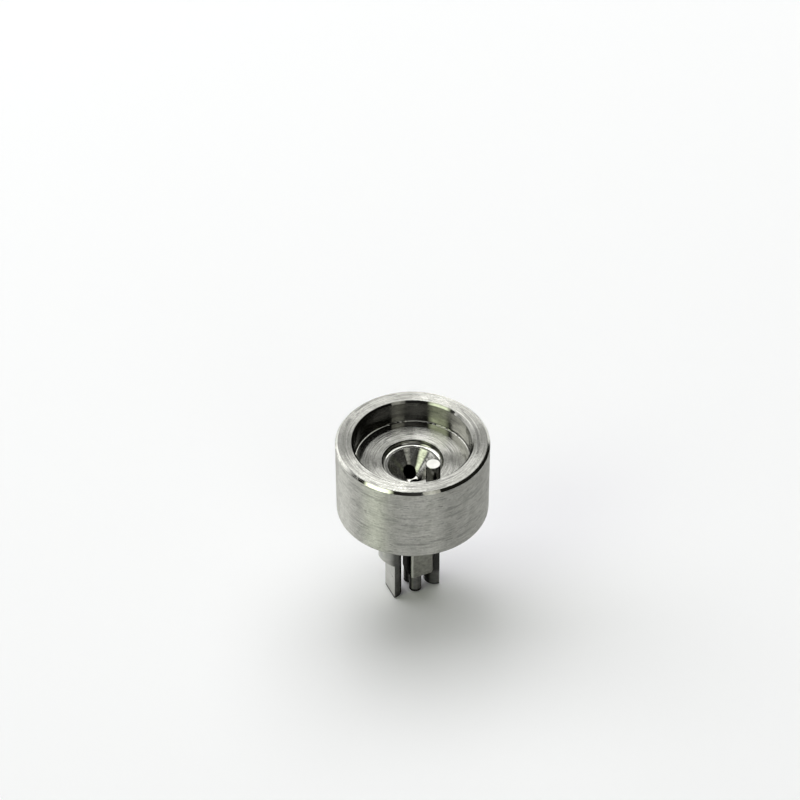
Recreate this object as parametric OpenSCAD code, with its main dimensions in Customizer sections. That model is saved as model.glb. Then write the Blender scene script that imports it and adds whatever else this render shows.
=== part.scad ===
// Two-needle dispensing nozzle: a turned cup whose underside carries a milled needle block,
// two tubes for the adhesive, two half-round stop pins and a locating pin in the recess.
// Millimetres. Z runs up the turning axis, z = 0 is the plane of the stop pins' feet,
// X runs along the line of the stop pins, -Y is the side of the locating pin.

/* [Cup] */
// Outer diameter of the cup
cup_d = 13; // [12:0.1:15]
// Height of the cup from its underside to the rim
cup_h = 7.2; // [6.8:0.1:9]
// Chamfer on the outer edge of the rim
rim_chamfer = 0.23; // [0.1:0.01:0.3]
// Chamfer on the outer edge of the underside
underside_chamfer = 0.1; // [0.05:0.01:0.3]
// Diameter of the recess that takes the dispensing head
recess_d = 9.94; // [9:0.02:11]
// Depth of the recess below the rim
recess_depth = 2.22; // [1.6:0.02:2.6]
// Chamfer round the mouth of the recess
mouth_chamfer = 0.18; // [0.05:0.01:0.25]
// Radius left by the tool where the recess wall meets its floor
floor_fillet = 0.13; // [0.06:0.01:0.24]

/* [Funnel] */
// Diameter of the well in the recess floor, at its edge
well_d = 5.24; // [4.8:0.02:5.6]
// Depth of the well below the recess floor
well_depth = 0.48; // [0.4:0.02:0.7]
// Radius left by the tool where the well's wall meets its bottom
well_fillet = 0.32; // [0.1:0.01:0.38]
// Width of the flat ledge between the well's rounded corner and the funnel
ledge_w = 0.17; // [0.08:0.01:0.3]
// Included angle of the funnel
funnel_angle = 90; // [80:1:100]
// Diameter of the funnel's flat bottom, where the needle holes open
funnel_floor_d = 0.9; // [0.4:0.05:1.2]

/* [Neck] */
// Length of the neck below the cup
neck_h = 2.4; // [1.8:0.1:3]
// Metal left round the stop pins at the neck's side
neck_wall = 0.46; // [0.3:0.02:1]
// Chamfer on the lower edge of the neck
neck_chamfer = 0.15; // [0.05:0.01:0.3]

/* [Needles] */
// Outer diameter of a needle tube
needle_d = 1.07; // [0.9:0.01:1.25]
// Bore of a needle tube
needle_bore = 0.69; // [0.4:0.01:0.8]
// Gap between the two tubes
needle_web = 0.12; // [0.05:0.01:0.3]
// How far the needle tips stay above the stop pins' feet
needle_gap = 0.18; // [0.04:0.01:0.3]
// How far a tube reaches up into the cup
needle_seat = 1; // [0.5:0.05:1.4]

/* [Needle block] */
// Height of the block's lower face above the stop pins' feet
block_rise = 2; // [1.4:0.05:3]
// Metal left round the needles at the block's front, rear and free side
block_wall = 0.065; // [0.05:0.005:0.15]
// How far the block wraps round the right stop pin
block_nest = 0.53; // [0.3:0.01:0.62]
// Chamfer on the block's upright edge beside the front needle
block_chamfer = 0.15; // [0.08:0.01:0.18]
// Chamfer on the block's upright edges beside the right stop pin
block_nose = 0.41; // [0.2:0.01:0.5]

/* [Stop pins] */
// Diameter of a stop pin
stop_d = 1.97; // [1.8:0.01:2.3]
// Distance between the two stop pins' axes
stop_pitch = 4.3; // [4.2:0.02:5]
// How far the stop pins' feet stand below the cup
stop_reach = 9.8; // [9:0.1:12]
// How far a stop pin is pressed up into the cup, above the neck
stop_seat = 2; // [1.2:0.1:2.4]
// Height of the half-round foot, measured on its flat
stop_flat_h = 3.9; // [2.6:0.1:4.6]
// Angle at which the flat runs out to the full round
stop_runout = 37; // [30:1:60]
// Chamfer round the lower edge of the foot
stop_break = 0.1; // [0.04:0.01:0.2]

/* [Locating pin] */
// Diameter of the locating pin
locating_d = 1.2; // [1:0.02:1.4]
// Gap between the locating pin and the recess wall
locating_gap = 0.27; // [0.25:0.01:0.5]
// How far the locating pin stands above the rim
locating_rise = 0.85; // [0.4:0.05:1.6]
// How far the locating pin is pressed into the recess floor
locating_seat = 2.5; // [1.6:0.1:3]
// Chamfer on the locating pin's upper edge
locating_break = 0.05; // [0.03:0.01:0.25]

/* [Fits] */
// Radial play left in the holes of the pressed and brazed pieces
press_gap = 0.005; // [0.002:0.001:0.02]
// Roundness of turned faces, in steps round the circle
smoothness = 96; // [48:8:160]

/* [Hidden] */
$fn = smoothness;
slack = 1;
cup_r = cup_d / 2;
recess_r = recess_d / 2;
underside_z = stop_reach;
rim_z = underside_z + cup_h;
floor_z = rim_z - recess_depth;
well_z = floor_z - well_depth;
well_r = well_d / 2;
funnel_r = well_r - well_fillet - ledge_w;
funnel_floor_r = funnel_floor_d / 2;
funnel_z = well_z - (funnel_r - funnel_floor_r) / tan(funnel_angle / 2);
neck_r = stop_pitch / 2 + stop_d / 2 + neck_wall;
neck_z = underside_z - neck_h;
needle_y = (needle_d + needle_web) / 2;
needle_top = underside_z + needle_seat;
stop_x = stop_pitch / 2;
stop_top = underside_z + stop_seat;
locating_y = recess_r - locating_gap - locating_d / 2;
block_round = needle_d / 2 + block_wall;
block_half = needle_y + block_round;
block_right = stop_x - stop_d / 2 + block_nest;

// Solid of the turned cup and neck, before anything is bored
module turned_blank() {
    translate([0, 0, underside_z])
        cylinder(r1 = cup_r - underside_chamfer, r2 = cup_r, h = underside_chamfer);
    translate([0, 0, underside_z + underside_chamfer])
        cylinder(r = cup_r, h = cup_h - underside_chamfer - rim_chamfer);
    translate([0, 0, rim_z - rim_chamfer])
        cylinder(r1 = cup_r, r2 = cup_r - rim_chamfer, h = rim_chamfer);
    translate([0, 0, neck_z])
        cylinder(r1 = neck_r - neck_chamfer, r2 = neck_r, h = neck_chamfer);
    translate([0, 0, neck_z + neck_chamfer])
        cylinder(r = neck_r, h = neck_h - neck_chamfer);
}

// Recess, well and funnel as one turned cut, drawn from the axis outward
module inlet_cut() {
    rotate_extrude()
        difference() {
            polygon([
                [0, funnel_z],
                [funnel_floor_r, funnel_z],
                [funnel_r, well_z],
                [well_r, well_z],
                [well_r, floor_z],
                [recess_r, floor_z],
                [recess_r, rim_z - mouth_chamfer],
                [recess_r + mouth_chamfer, rim_z],
                [recess_r + mouth_chamfer, rim_z + slack],
                [0, rim_z + slack]
            ]);
            corner_left(well_r, well_z, well_fillet);
            corner_left(recess_r, floor_z, floor_fillet);
        }
}

// Section of the rounded metal left where a bored wall of radius r meets its floor at height z
module corner_left(r, z, fillet) {
    difference() {
        translate([r - fillet, z])
            square([fillet, fillet]);
        translate([r - fillet, z + fillet])
            circle(r = fillet);
    }
}

// Milled block that holds the tubes: chamfered in front, rounded behind the rear needle
module needle_block() {
    translate([0, 0, block_rise])
        linear_extrude(height = neck_z + neck_chamfer - block_rise) {
            polygon([
                [-block_round, -block_half + block_chamfer],
                [-block_round + block_chamfer, -block_half],
                [block_right - block_nose, -block_half],
                [block_right, -block_half + block_nose],
                [block_right, block_half - block_nose],
                [block_right - block_nose, block_half],
                [0, block_half],
                [-block_round, needle_y]
            ]);
            translate([0, needle_y])
                circle(r = block_round);
        }
}

// Hole for a tube, open into the funnel and through the block's lower face
module needle_hole(y) {
    translate([0, y, block_rise - slack])
        cylinder(d = needle_d + 2 * press_gap, h = well_z - block_rise + slack);
}

// Blind hole for a stop pin; on the right it also leaves the groove in the block
module stop_hole(x) {
    translate([x, 0, block_rise - slack])
        cylinder(d = stop_d + 2 * press_gap, h = stop_top - block_rise + slack);
}

// Blind hole for the locating pin
module locating_hole() {
    translate([0, -locating_y, floor_z - locating_seat])
        cylinder(d = locating_d + 2 * press_gap, h = locating_seat + slack);
}

module nozzle_body() {
    color([0.66, 0.66, 0.62])
        difference() {
            union() {
                turned_blank();
                needle_block();
            }
            inlet_cut();
            needle_hole(-needle_y);
            needle_hole(needle_y);
            stop_hole(-stop_x);
            stop_hole(stop_x);
            locating_hole();
        }
}

// One tube, cut square at both ends
module needle_tube(y) {
    translate([0, y, needle_gap])
        difference() {
            cylinder(d = needle_d, h = needle_top - needle_gap);
            translate([0, 0, -slack])
                cylinder(d = needle_bore, h = needle_top - needle_gap + 2 * slack);
        }
}

module needle_front() {
    color([0.52, 0.53, 0.5])
        needle_tube(-needle_y);
}

module needle_rear() {
    color([0.52, 0.53, 0.5])
        needle_tube(needle_y);
}

// Cut that leaves the half-round foot: flat through the axis, sloping out at its upper end
module foot_cut() {
    runout_h = stop_d * tan(stop_runout);
    translate([0, stop_d, 0])
        rotate([90, 0, 0])
            linear_extrude(height = 2 * stop_d)
                polygon([
                    [0, -slack],
                    [stop_d, -slack],
                    [stop_d, stop_flat_h + runout_h],
                    [0, stop_flat_h]
                ]);
}

// Right-hand stop pin about its own axis, its flat facing outward along +X
module stop_pin() {
    difference() {
        union() {
            cylinder(d1 = stop_d - 2 * stop_break, d2 = stop_d, h = stop_break);
            translate([0, 0, stop_break])
                cylinder(d = stop_d, h = stop_top - stop_break);
        }
        foot_cut();
    }
}

module stop_pin_left() {
    color([0.6, 0.6, 0.58])
        translate([-stop_x, 0, 0])
            rotate([0, 0, 180])
                stop_pin();
}

module stop_pin_right() {
    color([0.6, 0.6, 0.58])
        translate([stop_x, 0, 0])
            stop_pin();
}

module locating_pin() {
    full_h = locating_seat + recess_depth + locating_rise;
    color([0.7, 0.7, 0.68])
        translate([0, -locating_y, floor_z - locating_seat]) {
            cylinder(d = locating_d, h = full_h - locating_break);
            translate([0, 0, full_h - locating_break])
                cylinder(d1 = locating_d, d2 = locating_d - 2 * locating_break, h = locating_break);
        }
}

nozzle_body();
needle_front();
needle_rear();
stop_pin_left();
stop_pin_right();
locating_pin();
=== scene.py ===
"""Looks of the dispensing nozzle: metal finishes, studio light and the photograph's camera."""
import math
from collections import namedtuple

import bpy
from mathutils import Matrix, Vector

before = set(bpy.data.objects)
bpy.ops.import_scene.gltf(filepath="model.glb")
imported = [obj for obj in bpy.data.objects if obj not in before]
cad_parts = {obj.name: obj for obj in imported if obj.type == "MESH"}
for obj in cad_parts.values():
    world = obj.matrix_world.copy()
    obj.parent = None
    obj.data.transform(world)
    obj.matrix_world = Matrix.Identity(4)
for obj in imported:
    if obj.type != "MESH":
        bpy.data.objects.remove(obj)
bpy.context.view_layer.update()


def grey(level, warmth=0.06):
    """A steel tone, slightly warm."""
    return (level, level, level * (1.0 - warmth), 1.0)


MM = 0.001
BLACK, WHITE = (0.0, 0.0, 0.0, 1.0), (1.0, 1.0, 1.0, 1.0)

# The camera, fitted to the photograph: it looks at the rim's centre from the side of the locating pin
RIM_Z = 17.0 * MM
VIEW_TURN = math.radians(24.2)
VIEW_PITCH = math.radians(41.43)
VIEW_ROLL = math.radians(-0.138)
VIEW_DISTANCE = 220.0 * MM
VIEW_OFFSET_RIGHT = -1.050 * MM
VIEW_OFFSET_UP = 3.424 * MM
FOCAL_PIXELS = 2630.4
IMAGE_PIXELS = 800
SENSOR_MM = 36.0
CLIP_START, CLIP_END = 0.01, 20.0

# Finish of the turned body by distance from the axis: where a zone begins (mm), its roughness,
# how deep its tool marks are, how bright its metal is and how strong its fine grooves are
TURNED_FINISH = [
    (0.0, 0.35, 0.10, 1.60, 0.0),  # bottom of the funnel
    (0.46, 0.17, 1.00, 1.00, 0.15),  # funnel
    (2.12, 0.12, 0.10, 0.48, 0.0),  # ledge
    (2.31, 0.08, 0.05, 0.85, 0.0),  # wall of the well
    (2.61, 0.23, 0.30, 0.73, 1.0),  # recess floor
    (4.22, 0.10, 0.05, 0.78, 0.0),  # polished outer ring of that floor, and the recess wall
    (5.14, 0.23, 0.30, 0.83, 1.0),  # rim
    (6.28, 0.08, 0.05, 1.70, 0.0),  # chamfer of the rim: polished, and its metal made brighter as a painted highlight
    (6.47, 0.42, 0.80, 1.14, 0.0),  # outer wall
]
FINISH_SPAN_MM = 7.0
CUP_LOWEST_MM, CUP_SOFT_MM = 9.7, 0.05
NECK_LOWEST_MM, NECK_SOFT_MM = 7.38, 0.02
TURNED_DARK, TURNED_LIGHT = grey(0.36, 0.09), grey(0.56, 0.07)
TURNED_TONE_RANGE = (0.36, 0.64)
TURNED_GLOSS_RANGE = (0.7, 1.3)
TURNED_EDGE = grey(0.7, 0.0)
FINE_SHARE, CLOUD_SHARE = 0.5, 0.25
BLOTCH_SCALE, BLOTCH_DETAIL = 1.1, 3.0
SPECK_SCALE, SPECK_DETAIL = 5.0, 2.0

# The milled needle block
MILLED_SCALE, MILLED_DETAIL = 3.4, 5.0
MILLED_DARK, MILLED_LIGHT = grey(0.26, 0.12), grey(0.47, 0.12)
MILLED_TONE_RANGE = (0.25, 0.75)
MILLED_ROUGHNESS = 0.40
MILLED_DEPTH = 0.40

# Tool marks on the faces, on the outer wall and long ones on both: rows in a millimetre, and how often
# they change in a turn; then the levels between which a mark comes up, and what it does to the metal
FACE_ROWS, FACE_CHANGES = 6.0, 2.2
WALL_ROWS, WALL_CHANGES = 13.0, 7.0
LONG_ROWS, LONG_CHANGES = 5.0, 1.2
FINE_ROWS_PER_ROW = 1.4
ROW_STRIDE = 3.7
WALL_FROM_MM, WALL_SOFT_MM = 6.4, 0.02
SHORT_RANGE, LONG_RANGE = (0.59, 0.65), (0.58, 0.68)
LONG_SHARE = 0.9
SCRATCH_SHARE, SCRATCH_TONE, SCRATCH_DEPTH = 0.45, grey(0.13), 0.6
MARK_DEPTH = 0.006 * MM
GROOVES_PER_MM = 10.0
GROOVE_DEPTH = 0.012 * MM

# Places on the body with painted light or shade, in millimetres, each with the width over which it fades:
# painted shade on the block's side towards the left stop pin, a painted highlight on its front bevel (where
# x + y is this low), and painted shade in the needle holes above the tubes and along the cup's lower edge
BLOCK_TOP_MM, BLOCK_TOP_SOFT_MM = 7.3, 0.1
PAINTED_SHADE_SIDE_X_MM, PAINTED_SHADE_SIDE_SOFT_MM, PAINTED_SHADE_SIDE = -0.52, 0.06, grey(0.025)
BEVEL_PAINTED_HIGHLIGHT_MM, BEVEL_PAINTED_HIGHLIGHT_SOFT_MM, BEVEL_PAINTED_HIGHLIGHT = -1.642, 0.012, grey(0.60)
BEVEL_PAINTED_HIGHLIGHT_X_RANGE = (-0.60, -0.50)
NEEDLE_Y_MM = 0.595
HOLE_PAINTED_SHADE_MM, HOLE_PAINTED_SHADE_SOFT_MM, HOLE_PAINTED_SHADE = 0.545, 0.02, grey(0.04)
LOWER_EDGE_PAINTED_SHADE_MM, LOWER_EDGE_PAINTED_SHADE_SOFT_MM, LOWER_EDGE_PAINTED_SHADE, LOWER_EDGE_PAINTED_SHADE_SHARE = 9.90, 0.05, grey(0.10), 0.7

# Pins and tubes: the grain across them and how far tone and gloss follow it
GRAIN_STRETCH, GRAIN_DETAIL = 0.15, 3.0
CLOUD_SCALE, CLOUD_DETAIL = 1.6, 2.0
GROUND_TONE_RANGE = (0.3, 0.7)
GROUND_GLOSS_RANGE = (0.7, 1.3)
FACE_TONE_RANGE = (0.9, 1.1)
FACE_GLOSS_RANGE = (0.8, 1.2)
GRAIN_DEPTH, GRAIN_STRENGTH = 0.5 * MARK_DEPTH, 0.5

# Where the faces of the pins and tubes are, in millimetres
STOP_X_MM = 2.15
STOP_TIP_MM = 0.0
STOP_FLAT_TOP_MM, STOP_FLAT_TOP_SOFT_MM = 3.9, 0.1
STOP_FLAT_RANGE = (0.02, 0.06)
# Where the left stop pin's outer side takes its painted highlight
STOP_LIT_SIDE_RANGE = (-0.1, 0.6)
NEEDLE_TIP_MM = 0.18
LOCATING_TOP_RANGE = (17.81, 17.84)
# Painted shade on the lowest part of the stop pins and tubes, at their tips
TIP_PAINTED_SHADE_RANGE, TIP_PAINTED_SHADE = (0.14, 0.28), grey(0.02)
# Painted shade on the upper part of the right stop pin, beside the block
UPPER_SHADE_SPAN_MM, UPPER_SHADE_SHARE, UPPER_PAINTED_SHADE = 0.6, 0.7, grey(0.02)

# How far the gloss is drawn out across the turning, and along the pins
TURNED_ANISOTROPY, QUARTER_TURN = 1.0, 0.25
GROUND_ANISOTROPY = 0.95

# The lit ceiling: how far it is turned from the view, its height above the part, its near and far edges
# and the left and right edges of its panels, as parts of that height, and the radiance of each panel
CEILING_TURN = -6.0
CEILING_HEIGHT = 0.8
CEILING_NEAR, CEILING_FAR = 0.0, 0.95
CEILING_COLOUR = (1.0, 1.0, 1.0)
CEILING_PANELS = [("ceiling_left", -1.6, 0.0, 2.4), ("ceiling_right", 0.0, 0.72, 2.1)]

# Lamps: name, azimuth, elevation, distance, width, height, radiance, colour
SOFTBOXES = [
    ("key", -30, 58, 0.75, 0.34, 0.24, 1.0, (1.0, 1.0, 0.99)),
    ("tube_near", -3.7, 62, 0.75, 0.011, 0.28, 7.5, (1.0, 1.0, 1.0)),
    ("tube_far", -6.4, 62, 0.72, 0.011, 0.28, 7.5, (1.0, 1.0, 1.0)),
    ("window_low", -126.5, 6, 0.8, 0.40, 0.20, 2.2, (0.92, 1.0, 0.80)),
    ("lamp_right", 151, 40, 0.8, 0.10, 0.52, 0.6, (1.0, 1.0, 0.93)),
    ("lamp_right_edge", 151, 40, 0.8, 0.26, 0.52, 0.45, (1.0, 1.0, 0.93)),
]

# The room: its dimmest tone, and the pale parts of it, each with azimuth, elevation, how near to it
# the paleness begins and is full (cosines), and its tone; the last is a greenish window
ROOM_TONE = (0.008, 0.008, 0.006)
ROOM_LOBES = [
    (-62, 14, 0.84, 0.97, (1.08, 1.08, 1.08)),
    (178, 4, 0.72, 0.97, (0.72, 0.72, 0.72)),
    (5, 46, 0.80, 0.98, (0.78, 0.78, 0.78)),
    (-126.5, 41, 0.945, 0.990, (2.024, 2.2, 1.672)),
]

FLOOR_HALF = 1.5
FLOOR_COLOUR = (0.93, 0.93, 0.95, 1.0)

Turning = namedtuple("Turning", "radius along cosine sine")


class Tree:
    """Short way to write a node tree: each call adds one node and returns its output socket."""

    def __init__(self, owner):
        owner.use_nodes = True
        self.tree = owner.node_tree
        self.tree.nodes.clear()

    def add(self, kind, **settings):
        node = self.tree.nodes.new(kind)
        for name, value in settings.items():
            setattr(node, name, value)
        return node

    def feed(self, socket, value):
        """Links a socket, or sets the input to a plain value; None leaves it as it is."""
        if isinstance(value, bpy.types.NodeSocket):
            self.tree.links.new(value, socket)
        elif value is not None:
            socket.default_value = value

    def math(self, operation, a, b=None, c=None):
        node = self.add("ShaderNodeMath", operation=operation)
        for socket, value in zip(node.inputs, (a, b, c)):
            self.feed(socket, value)
        return node.outputs[0]

    def vector(self, operation, a, b=None, scale=None):
        node = self.add("ShaderNodeVectorMath", operation=operation)
        self.feed(node.inputs[0], a)
        self.feed(node.inputs[1], b)
        self.feed(node.inputs[3], scale)
        return node.outputs[1 if operation in ("DOT_PRODUCT", "LENGTH") else 0]

    def split(self, vector):
        node = self.add("ShaderNodeSeparateXYZ")
        self.feed(node.inputs[0], vector)
        return node.outputs

    def join(self, x, y, z):
        node = self.add("ShaderNodeCombineXYZ")
        for socket, value in zip(node.inputs, (x, y, z)):
            self.feed(socket, value)
        return node.outputs[0]

    def length(self, x, y):
        return self.vector("LENGTH", self.join(x, y, 0.0))

    def times(self, a, b):
        return self.math("MULTIPLY", a, b)

    def step(self, value, low, high):
        """0 below low, 1 above high, smooth between."""
        node = self.add("ShaderNodeMapRange", interpolation_type="SMOOTHSTEP")
        self.feed(node.inputs["Value"], value)
        self.feed(node.inputs["From Min"], low)
        self.feed(node.inputs["From Max"], high)
        return node.outputs[0]

    def fall(self, value, low, high):
        """1 below low, 0 above high, smooth between."""
        return self.math("SUBTRACT", 1.0, self.step(value, low, high))

    def spread(self, value, low, high):
        """Maps 0 to 1 onto low to high."""
        node = self.add("ShaderNodeMapRange")
        self.feed(node.inputs["Value"], value)
        self.feed(node.inputs["To Min"], low)
        self.feed(node.inputs["To Max"], high)
        return node.outputs[0]

    def noise(self, vector, scale=1.0, detail=2.0, w=None):
        node = self.add("ShaderNodeTexNoise", noise_dimensions="3D" if w is None else "4D")
        self.feed(node.inputs["Vector"], vector)
        self.feed(node.inputs[1], w)
        self.feed(node.inputs["Scale"], scale)
        self.feed(node.inputs["Detail"], detail)
        return node.outputs["Fac"]

    def mix(self, factor, a, b):
        """Colour a where the factor is 0, colour b where it is 1."""
        node = self.add("ShaderNodeMix", data_type="RGBA")
        self.feed(node.inputs[0], factor)
        self.feed(node.inputs[6], a)
        self.feed(node.inputs[7], b)
        return node.outputs[2]

    def blend(self, factor, a, b):
        """Number a where the factor is 0, number b where it is 1."""
        return self.math("MULTIPLY_ADD", self.math("SUBTRACT", b, a), factor, a)

    def steps_of(self, value, top, stops):
        """Constant steps: the level of the last stop at or below the value, which runs from 0 to top."""
        node = self.add("ShaderNodeValToRGB")
        node.color_ramp.interpolation = "CONSTANT"
        elements = node.color_ramp.elements
        while len(elements) < len(stops):
            elements.new(1.0)
        for element, (place, level) in zip(elements, stops):
            element.position = place / top
            element.color = (level, level, level, 1.0)
        self.feed(node.inputs[0], self.math("DIVIDE", value, top))
        return node.outputs[0]

    def bump(self, height, distance, strength, normal=None):
        node = self.add("ShaderNodeBump")
        self.feed(node.inputs["Normal"], normal)
        self.feed(node.inputs["Height"], height)
        self.feed(node.inputs["Distance"], distance)
        self.feed(node.inputs["Strength"], strength)
        return node.outputs[0]


def metal(name):
    """A new metal material: its node tree and its shader."""
    material = bpy.data.materials.new(name)
    tree = Tree(material)
    shader = tree.add("ShaderNodeBsdfPrincipled")
    shader.inputs["Metallic"].default_value = 1.0
    output = tree.add("ShaderNodeOutputMaterial")
    tree.feed(output.inputs["Surface"], shader.outputs[0])
    return material, tree, shader


def place_in_mm(tree):
    coordinates = tree.add("ShaderNodeTexCoord")
    return tree.vector("SCALE", coordinates.outputs["Object"], scale=1.0 / MM)


def along_the_turning(tree, shader):
    """Grooves run round the axis, so the gloss spreads across them."""
    tangent = tree.add("ShaderNodeTangent", direction_type="RADIAL", axis="Z")
    tree.feed(shader.inputs["Tangent"], tangent.outputs[0])
    shader.inputs["Anisotropic"].default_value = TURNED_ANISOTROPY
    shader.inputs["Anisotropic Rotation"].default_value = QUARTER_TURN


def round_the_axis(tree, x, y, z):
    """Radius, the way out and up along the turned profile, and the angle's cosine and sine."""
    radius = tree.length(x, y)
    along = tree.math("ADD", radius, z)
    return Turning(radius, along, tree.math("DIVIDE", x, radius), tree.math("DIVIDE", y, radius))


def tool_marks(tree, turning, rows_per_mm, per_turn):
    """Marks in straight rows round the axis: each row has its own noise along the turn."""
    row = tree.math("FLOOR", tree.times(turning.along, rows_per_mm))
    turn = tree.join(tree.times(turning.cosine, per_turn), tree.times(turning.sine, per_turn), 0.0)
    return tree.noise(turn, w=tree.times(row, ROW_STRIDE))


def turned_marks(tree, turning):
    """The fine marks of the tool, and the dark scratches among them."""
    on_wall = tree.step(turning.radius, WALL_FROM_MM, WALL_FROM_MM + WALL_SOFT_MM)
    rows = tree.blend(on_wall, FACE_ROWS, WALL_ROWS)
    changes = tree.blend(on_wall, FACE_CHANGES, WALL_CHANGES)
    fine = tool_marks(tree, turning, tree.times(rows, FINE_ROWS_PER_ROW), changes)
    short = tree.step(tool_marks(tree, turning, rows, changes), *SHORT_RANGE)
    long = tree.step(tool_marks(tree, turning, LONG_ROWS, LONG_CHANGES), *LONG_RANGE)
    return fine, tree.math("MAXIMUM", short, tree.times(long, LONG_SHARE))


def grooved_normal(tree, turning, strength):
    """Normal of a face with fine grooves that run the whole way round the axis."""
    across = tree.join(tree.times(turning.along, GROOVES_PER_MM), 0.0, 0.0)
    return tree.bump(tree.noise(across, detail=0.0), GROOVE_DEPTH, strength)


def turned_zones(tree, radius):
    """Roughness, mark depth, brightness and groove strength of the zone at this radius."""
    return [
        tree.steps_of(radius, FINISH_SPAN_MM, [(zone[0], zone[column]) for zone in TURNED_FINISH])
        for column in (1, 2, 3, 4)
    ]


def turned_tone(tree, place, fine, scratch, bright):
    """Colour of the turned faces: fine marks, clouds and dark scratches."""
    blotch = tree.noise(place, BLOTCH_SCALE, BLOTCH_DETAIL)
    speck = tree.noise(place, SPECK_SCALE, SPECK_DETAIL)
    clouds = tree.times(tree.math("ADD", speck, blotch), CLOUD_SHARE)
    tone = tree.math("MULTIPLY_ADD", fine, FINE_SHARE, clouds)
    steel = tree.mix(tree.step(tone, *TURNED_TONE_RANGE), TURNED_DARK, TURNED_LIGHT)
    steel = tree.mix(tree.times(scratch, SCRATCH_SHARE), steel, SCRATCH_TONE)
    return tree.vector("SCALE", steel, scale=bright)


def body_details(tree, x, y, z, on_cup, steel):
    """The body's colour with a painted highlight on its bevel and painted shade in its holes and along its
    lower edge, and where the block's side is painted with shade.
    """
    on_block = tree.fall(z, BLOCK_TOP_MM, BLOCK_TOP_MM + BLOCK_TOP_SOFT_MM)
    # Painted highlight on the block's front bevel
    bevel_highlight = tree.fall(tree.math("ADD", x, y), BEVEL_PAINTED_HIGHLIGHT_MM, BEVEL_PAINTED_HIGHLIGHT_MM + BEVEL_PAINTED_HIGHLIGHT_SOFT_MM)
    bevel_highlight = tree.times(on_block, bevel_highlight)
    # Painted shade on the block's side towards the left stop pin
    painted_shade_side = tree.fall(x, PAINTED_SHADE_SIDE_X_MM, PAINTED_SHADE_SIDE_X_MM + PAINTED_SHADE_SIDE_SOFT_MM)
    painted_shade_side = tree.times(tree.times(on_block, painted_shade_side), tree.math("SUBTRACT", 1.0, bevel_highlight))
    steel = tree.mix(tree.times(bevel_highlight, tree.step(x, *BEVEL_PAINTED_HIGHLIGHT_X_RANGE)), steel, BEVEL_PAINTED_HIGHLIGHT)

    # Painted shade inside the needle holes
    off_needle = tree.length(x, tree.math("SUBTRACT", tree.math("ABSOLUTE", y), NEEDLE_Y_MM))
    hole_shade = tree.times(on_cup, tree.fall(off_needle, HOLE_PAINTED_SHADE_MM, HOLE_PAINTED_SHADE_MM + HOLE_PAINTED_SHADE_SOFT_MM))
    steel = tree.mix(hole_shade, steel, HOLE_PAINTED_SHADE)

    # Painted shade along the cup's lower edge
    lower_edge_shade = tree.times(on_cup, tree.fall(z, LOWER_EDGE_PAINTED_SHADE_MM, LOWER_EDGE_PAINTED_SHADE_MM + LOWER_EDGE_PAINTED_SHADE_SOFT_MM))
    return tree.mix(tree.times(lower_edge_shade, LOWER_EDGE_PAINTED_SHADE_SHARE), steel, LOWER_EDGE_PAINTED_SHADE), painted_shade_side


def turned_steel():
    """Body: tool marks run round the axis; the finish changes from face to face; the block is milled."""
    material, tree, shader = metal("turned_steel_look")
    place = place_in_mm(tree)
    x, y, z = tree.split(place)
    turning = round_the_axis(tree, x, y, z)
    on_cup = tree.step(z, CUP_LOWEST_MM - CUP_SOFT_MM, CUP_LOWEST_MM)
    turned = tree.step(z, NECK_LOWEST_MM - NECK_SOFT_MM, NECK_LOWEST_MM)
    roughness, depth, bright, grooved = turned_zones(tree, turning.radius)

    milled = tree.noise(place, MILLED_SCALE, MILLED_DETAIL)
    fine, scratch = turned_marks(tree, turning)
    fine = tree.blend(turned, milled, fine)
    scratch = tree.times(turned, scratch)

    steel = turned_tone(tree, place, fine, scratch, bright)
    block = tree.mix(tree.step(milled, *MILLED_TONE_RANGE), MILLED_DARK, MILLED_LIGHT)
    steel = tree.mix(turned, block, steel)
    steel, painted_shade_side = body_details(tree, x, y, z, on_cup, steel)
    # The block's side towards the left stop pin takes painted shade, and a black specular tint there
    tree.feed(shader.inputs["Base Color"], tree.mix(painted_shade_side, steel, PAINTED_SHADE_SIDE))
    tree.feed(shader.inputs["Specular Tint"], tree.mix(painted_shade_side, TURNED_EDGE, BLACK))

    roughness = tree.blend(on_cup, MILLED_ROUGHNESS, roughness)
    tree.feed(shader.inputs["Roughness"], tree.times(roughness, tree.spread(fine, *TURNED_GLOSS_RANGE)))

    grooves = grooved_normal(tree, turning, tree.times(on_cup, grooved))
    height = tree.math("MULTIPLY_ADD", scratch, -SCRATCH_DEPTH, fine)
    depth = tree.blend(on_cup, MILLED_DEPTH, depth)
    tree.feed(shader.inputs["Normal"], tree.bump(height, MARK_DEPTH, depth, grooves))
    along_the_turning(tree, shader)
    return material


def stop_flats(tree, x, y, z):
    """1 on the ground flats of the stop pins' feet."""
    off_axis = tree.math("ABSOLUTE", tree.math("SUBTRACT", tree.math("ABSOLUTE", x), STOP_X_MM))
    below = tree.fall(z, STOP_FLAT_TOP_MM, STOP_FLAT_TOP_MM + STOP_FLAT_TOP_SOFT_MM)
    return tree.times(tree.fall(off_axis, *STOP_FLAT_RANGE), below)


def left_stop_flat_and_lit_side(tree, x, y, z):
    """1 on the left stop pin's flat and on the outer side of the round above it, which is given a painted
    highlight.
    """
    outward = tree.math("SUBTRACT", tree.times(x, -1.0), STOP_X_MM)
    return tree.math("MAXIMUM", stop_flats(tree, x, y, z), tree.step(outward, *STOP_LIT_SIDE_RANGE))


def locating_top(tree, x, y, z):
    """1 on the locating pin's upper face."""
    return tree.step(z, *LOCATING_TOP_RANGE)


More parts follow.
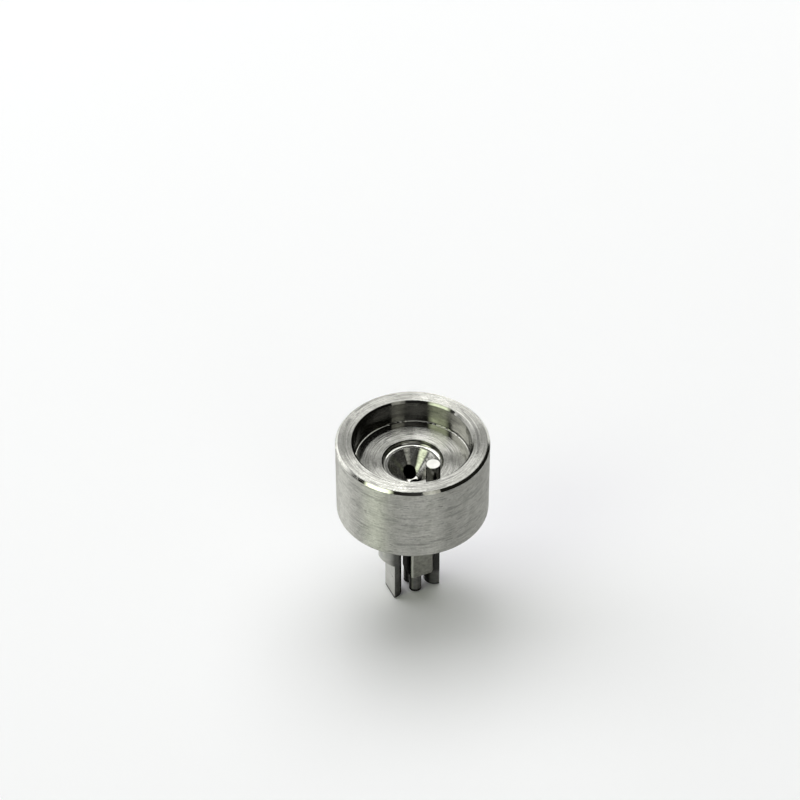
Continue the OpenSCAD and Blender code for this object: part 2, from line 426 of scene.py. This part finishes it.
def ground_steel(name, tones, roughness, grain, tip=None, face=None, upper_shade_above=None):
    """Pins and tubes: fine marks across the axis, between a dark and a light tone.

    A piece that points down has painted shade at its tip, at the height given. A face with a finish or
    painted light of its own has the function that finds it, its tone and its roughness. Above
    upper_shade_above is painted shade.
    """
    material, tree, shader = metal(name)
    place = place_in_mm(tree)
    x, y, z = tree.split(place)
    across = tree.join(tree.times(x, GRAIN_STRETCH), tree.times(y, GRAIN_STRETCH), z)
    lines = tree.noise(across, grain, GRAIN_DETAIL)
    cloud = tree.noise(place, CLOUD_SCALE, CLOUD_DETAIL)
    tone = tree.step(tree.times(tree.math("ADD", lines, cloud), 0.5), *GROUND_TONE_RANGE)
    steel = tree.mix(tone, *(grey(level) for level in tones))
    gloss = tree.spread(lines, *(roughness * share for share in GROUND_GLOSS_RANGE))
    if face:
        find, face_tone, face_roughness = face
        on_face = find(tree, x, y, z)
        face_steel = tree.mix(tone, *(grey(face_tone * share) for share in FACE_TONE_RANGE))
        face_gloss = tree.spread(lines, *(face_roughness * share for share in FACE_GLOSS_RANGE))
        steel = tree.mix(on_face, steel, face_steel)
        gloss = tree.blend(on_face, gloss, face_gloss)
        tree.feed(shader.inputs["Specular Tint"], tree.mix(on_face, BLACK, WHITE))
    else:
        shader.inputs["Specular Tint"].default_value = BLACK
    # Painted shade above the given height
    if upper_shade_above is not None:
        upper_shade = tree.step(z, upper_shade_above, upper_shade_above + UPPER_SHADE_SPAN_MM)
        steel = tree.mix(tree.times(upper_shade, UPPER_SHADE_SHARE), steel, UPPER_PAINTED_SHADE)
    # Painted shade at the tip; the gloss is drawn out along the piece
    if tip is not None:
        steel = tree.mix(tree.fall(z, *(tip + height for height in TIP_PAINTED_SHADE_RANGE)), steel, TIP_PAINTED_SHADE)
        tree.feed(shader.inputs["Tangent"], tree.join(0.0, 0.0, 1.0))
        shader.inputs["Anisotropic"].default_value = GROUND_ANISOTROPY
    tree.feed(shader.inputs["Base Color"], steel)
    tree.feed(shader.inputs["Roughness"], gloss)
    tree.feed(shader.inputs["Normal"], tree.bump(lines, GRAIN_DEPTH, GRAIN_STRENGTH))
    return material


def dress(node, material):
    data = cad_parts[node].data
    data.materials.clear()
    data.materials.append(material)


def dress_part():
    dress("nozzle_body", turned_steel())
    dress("needle_front", ground_steel("needle_steel_look", (0.15, 0.25), 0.42, 6.0, NEEDLE_TIP_MM))
    # The rear needle's tones are darker than the front one's as painted shade: the two tubes are the same
    # steel
    dress("needle_rear", ground_steel("rear_needle_painted_shade_look", (0.06, 0.12), 0.42, 6.0, NEEDLE_TIP_MM))
    # The left stop pin's ground flat has a finish of its own; the outer side of the round above it is a
    # painted highlight
    dress("stop_pin_left", ground_steel(
        "left_stop_painted_light_look", (0.16, 0.26), 0.45, 7.0, STOP_TIP_MM, face=(left_stop_flat_and_lit_side, 0.50, 0.30)))
    # The right stop pin's tones are darker than the left's as painted shade: the two pins are the same
    # steel
    dress("stop_pin_right", ground_steel(
        "right_stop_painted_shade_look", (0.11, 0.18), 0.45, 7.0, STOP_TIP_MM, face=(stop_flats, 0.50, 0.30),
        upper_shade_above=1.4))
    dress("locating_pin", ground_steel(
        "locating_steel_look", (0.13, 0.24), 0.12, 9.0, face=(locating_top, 0.56, 0.42)))


def from_photo(x, y, z):
    """Turns a direction of the photograph (right, away, up) into the part's axes."""
    c, s = math.cos(VIEW_TURN), math.sin(VIEW_TURN)
    return Vector((c * x + s * y, -s * x + c * y, z))


def direction(azimuth, elevation):
    """Direction seen from the part: azimuth 0 is straight away from the camera, 90 is to the right."""
    a, e = math.radians(azimuth), math.radians(elevation)
    return from_photo(math.sin(a) * math.cos(e), math.cos(a) * math.cos(e), math.sin(e))


def photo_camera():
    right = from_photo(1, 0, 0)
    forward = from_photo(0, math.cos(VIEW_PITCH), -math.sin(VIEW_PITCH))
    up = from_photo(0, math.sin(VIEW_PITCH), math.cos(VIEW_PITCH))
    eye = Vector((0, 0, RIM_Z)) - forward * VIEW_DISTANCE
    eye += right * VIEW_OFFSET_RIGHT + up * VIEW_OFFSET_UP
    c, s = math.cos(VIEW_ROLL), math.sin(VIEW_ROLL)
    camera = bpy.data.objects.new("camera", bpy.data.cameras.new("camera"))
    camera.matrix_world = Matrix((right * c + up * s, up * c - right * s, -forward)).transposed().to_4x4()
    camera.matrix_world.translation = eye
    camera.data.sensor_width = SENSOR_MM
    camera.data.lens = FOCAL_PIXELS / IMAGE_PIXELS * SENSOR_MM
    camera.data.clip_start = CLIP_START
    camera.data.clip_end = CLIP_END
    bpy.context.collection.objects.link(camera)
    bpy.context.scene.camera = camera


def panel(name, place, turn, width, height, radiance, colour):
    """A rectangular lamp; radiance is what a mirror would show of it."""
    lamp = bpy.data.lights.new(name, "AREA")
    lamp.shape = "RECTANGLE"
    lamp.size = width
    lamp.size_y = height
    lamp.energy = radiance * width * height * math.pi
    lamp.color = colour
    obj = bpy.data.objects.new(name, lamp)
    obj.location = place
    obj.rotation_euler = turn
    bpy.context.collection.objects.link(obj)


def softbox(name, azimuth, elevation, distance, width, height, radiance, colour):
    """A panel that faces the part."""
    place = direction(azimuth, elevation) * distance
    panel(name, place, (-place).to_track_quat("-Z", "Y").to_euler(), width, height, radiance, colour)


def ceiling(name, left, right, radiance):
    """A level panel that shines down, off to the far side of the part."""
    across = direction(CEILING_TURN + 90, 0)
    middle = across * (left + right) / 2
    middle += direction(CEILING_TURN, 0) * (CEILING_NEAR + CEILING_FAR) / 2 + Vector((0, 0, 1))
    turn = (0, 0, math.atan2(across.y, across.x))
    width = (right - left) * CEILING_HEIGHT
    depth = (CEILING_FAR - CEILING_NEAR) * CEILING_HEIGHT
    panel(name, middle * CEILING_HEIGHT, turn, width, depth, radiance, CEILING_COLOUR)


def studio_world():
    """The room: dim, with soft pale parts that do not end sharply."""
    world = bpy.data.worlds.new("studio")
    bpy.context.scene.world = world
    tree = Tree(world)
    ray = tree.add("ShaderNodeTexCoord").outputs["Generated"]
    light = ROOM_TONE
    for azimuth, elevation, begins, full, tone in ROOM_LOBES:
        nearness = tree.vector("DOT_PRODUCT", ray, direction(azimuth, elevation))
        lobe = tree.vector("SCALE", tone, scale=tree.step(nearness, begins, full))
        light = tree.vector("MAXIMUM", light, lobe)
    background = tree.add("ShaderNodeBackground")
    tree.feed(background.inputs["Color"], light)
    output = tree.add("ShaderNodeOutputWorld")
    tree.feed(output.inputs["Surface"], background.outputs[0])


def pale_floor():
    h = FLOOR_HALF
    mesh = bpy.data.meshes.new("floor")
    mesh.from_pydata([(-h, -h, 0), (h, -h, 0), (h, h, 0), (-h, h, 0)], [], [(0, 1, 2, 3)])
    floor = bpy.data.objects.new("floor", mesh)
    bpy.context.collection.objects.link(floor)
    material = bpy.data.materials.new("floor")
    tree = Tree(material)
    shader = tree.add("ShaderNodeBsdfDiffuse")
    shader.inputs["Color"].default_value = FLOOR_COLOUR
    output = tree.add("ShaderNodeOutputMaterial")
    tree.feed(output.inputs["Surface"], shader.outputs[0])
    mesh.materials.append(material)


def main():
    dress_part()
    pale_floor()
    studio_world()
    for part in CEILING_PANELS:
        ceiling(*part)
    for lamp in SOFTBOXES:
        softbox(*lamp)
    photo_camera()
    bpy.context.scene.view_settings.view_transform = "Standard"


main()
